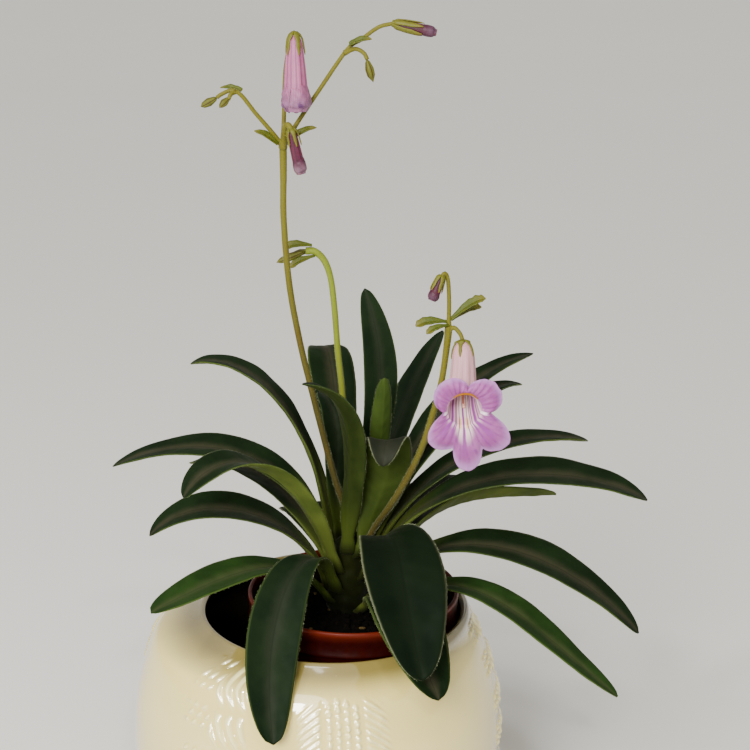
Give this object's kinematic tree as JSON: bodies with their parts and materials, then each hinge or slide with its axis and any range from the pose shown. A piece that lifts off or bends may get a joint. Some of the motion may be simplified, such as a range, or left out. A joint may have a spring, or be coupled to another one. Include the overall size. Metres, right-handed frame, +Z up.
{
  "type": "potted flowering plant",
  "caption": "Potted primulina with a rosette of thick dark leaves and lilac tubular flowers on slender stalks, in a nursery pot inside a round relief-moulded cachepot.",
  "frame": {"origin": "centre of the cachepot's flat bottom, on the surface it stands on", "axes": "+Z up; the open flower faces -Y, and the leaf rosette sits a little towards +X"},
  "size_m": [0.1728, 0.1252, 0.272],
  "materials": {
    "cream_glaze": "gloss",
    "terracotta_plastic": "satin",
    "dark_soil": "matte",
    "crown_green": "matte",
    "leaf_dark": "matte",
    "leaf_young": "matte",
    "stalk_olive": "matte",
    "bract_green": "matte",
    "petal_lilac": "matte",
    "bud_maroon": "matte",
    "pistil_orange": "matte"
  },
  "bodies": {
    "root": {"cachepot": "cream_glaze", "nursery_pot": "terracotta_plastic", "potting_soil": "dark_soil", "crown": "crown_green", "leaf_left_1": "leaf_young", "leaf_left_2": "leaf_dark", "leaf_left_3": "leaf_dark", "leaf_left_4": "leaf_dark", "leaf_left_5": "leaf_dark", "leaf_right_1": "leaf_young", "leaf_right_2": "leaf_dark", "leaf_right_3": "leaf_dark", "leaf_right_4": "leaf_dark", "leaf_right_5": "leaf_dark", "leaf_right_6": "leaf_dark", "leaf_right_7": "leaf_dark", "leaf_front_1": "leaf_dark", "leaf_front_2": "leaf_dark", "leaf_front_3": "leaf_dark", "leaf_up_1": "leaf_dark", "leaf_up_2": "leaf_dark", "leaf_up_3": "leaf_dark", "leaf_up_4": "leaf_young", "leaf_up_5": "leaf_young", "leaf_up_6": "leaf_dark", "leaf_back_1": "leaf_dark", "leaf_back_2": "leaf_dark", "leaf_back_3": "leaf_dark", "leaf_back_4": "leaf_dark", "leaf_back_5": "leaf_dark", "stalk_tall": "stalk_olive", "stalk_front": "stalk_olive", "stalk_young": "stalk_olive", "tall_bract_left": "bract_green", "tall_bract_right": "bract_green", "cyme_bract_right": "bract_green", "cyme_bract_left": "bract_green", "front_bract_left": "bract_green", "front_bract_right": "bract_green", "young_bract_upper": "bract_green", "young_bract_lower": "bract_green", "closed_flower_calyx": "bract_green", "closed_flower_corolla": "petal_lilac", "low_bud_calyx": "bract_green", "low_bud_corolla": "bud_maroon", "right_bud_calyx": "bract_green", "right_bud_corolla": "bud_maroon", "front_top_bud_calyx": "bract_green", "front_top_bud_corolla": "bud_maroon", "open_flower_calyx": "bract_green", "open_flower_corolla": "petal_lilac", "open_flower_pistil": "pistil_orange", "small_right_bud": "bract_green", "left_bud": "bract_green", "small_left_bud": "bract_green", "front_young_bud_left": "bract_green", "front_young_bud_right": "bract_green", "young_bud_first": "bract_green", "young_bud_second": "bract_green"}
  },
  "joints": []
}
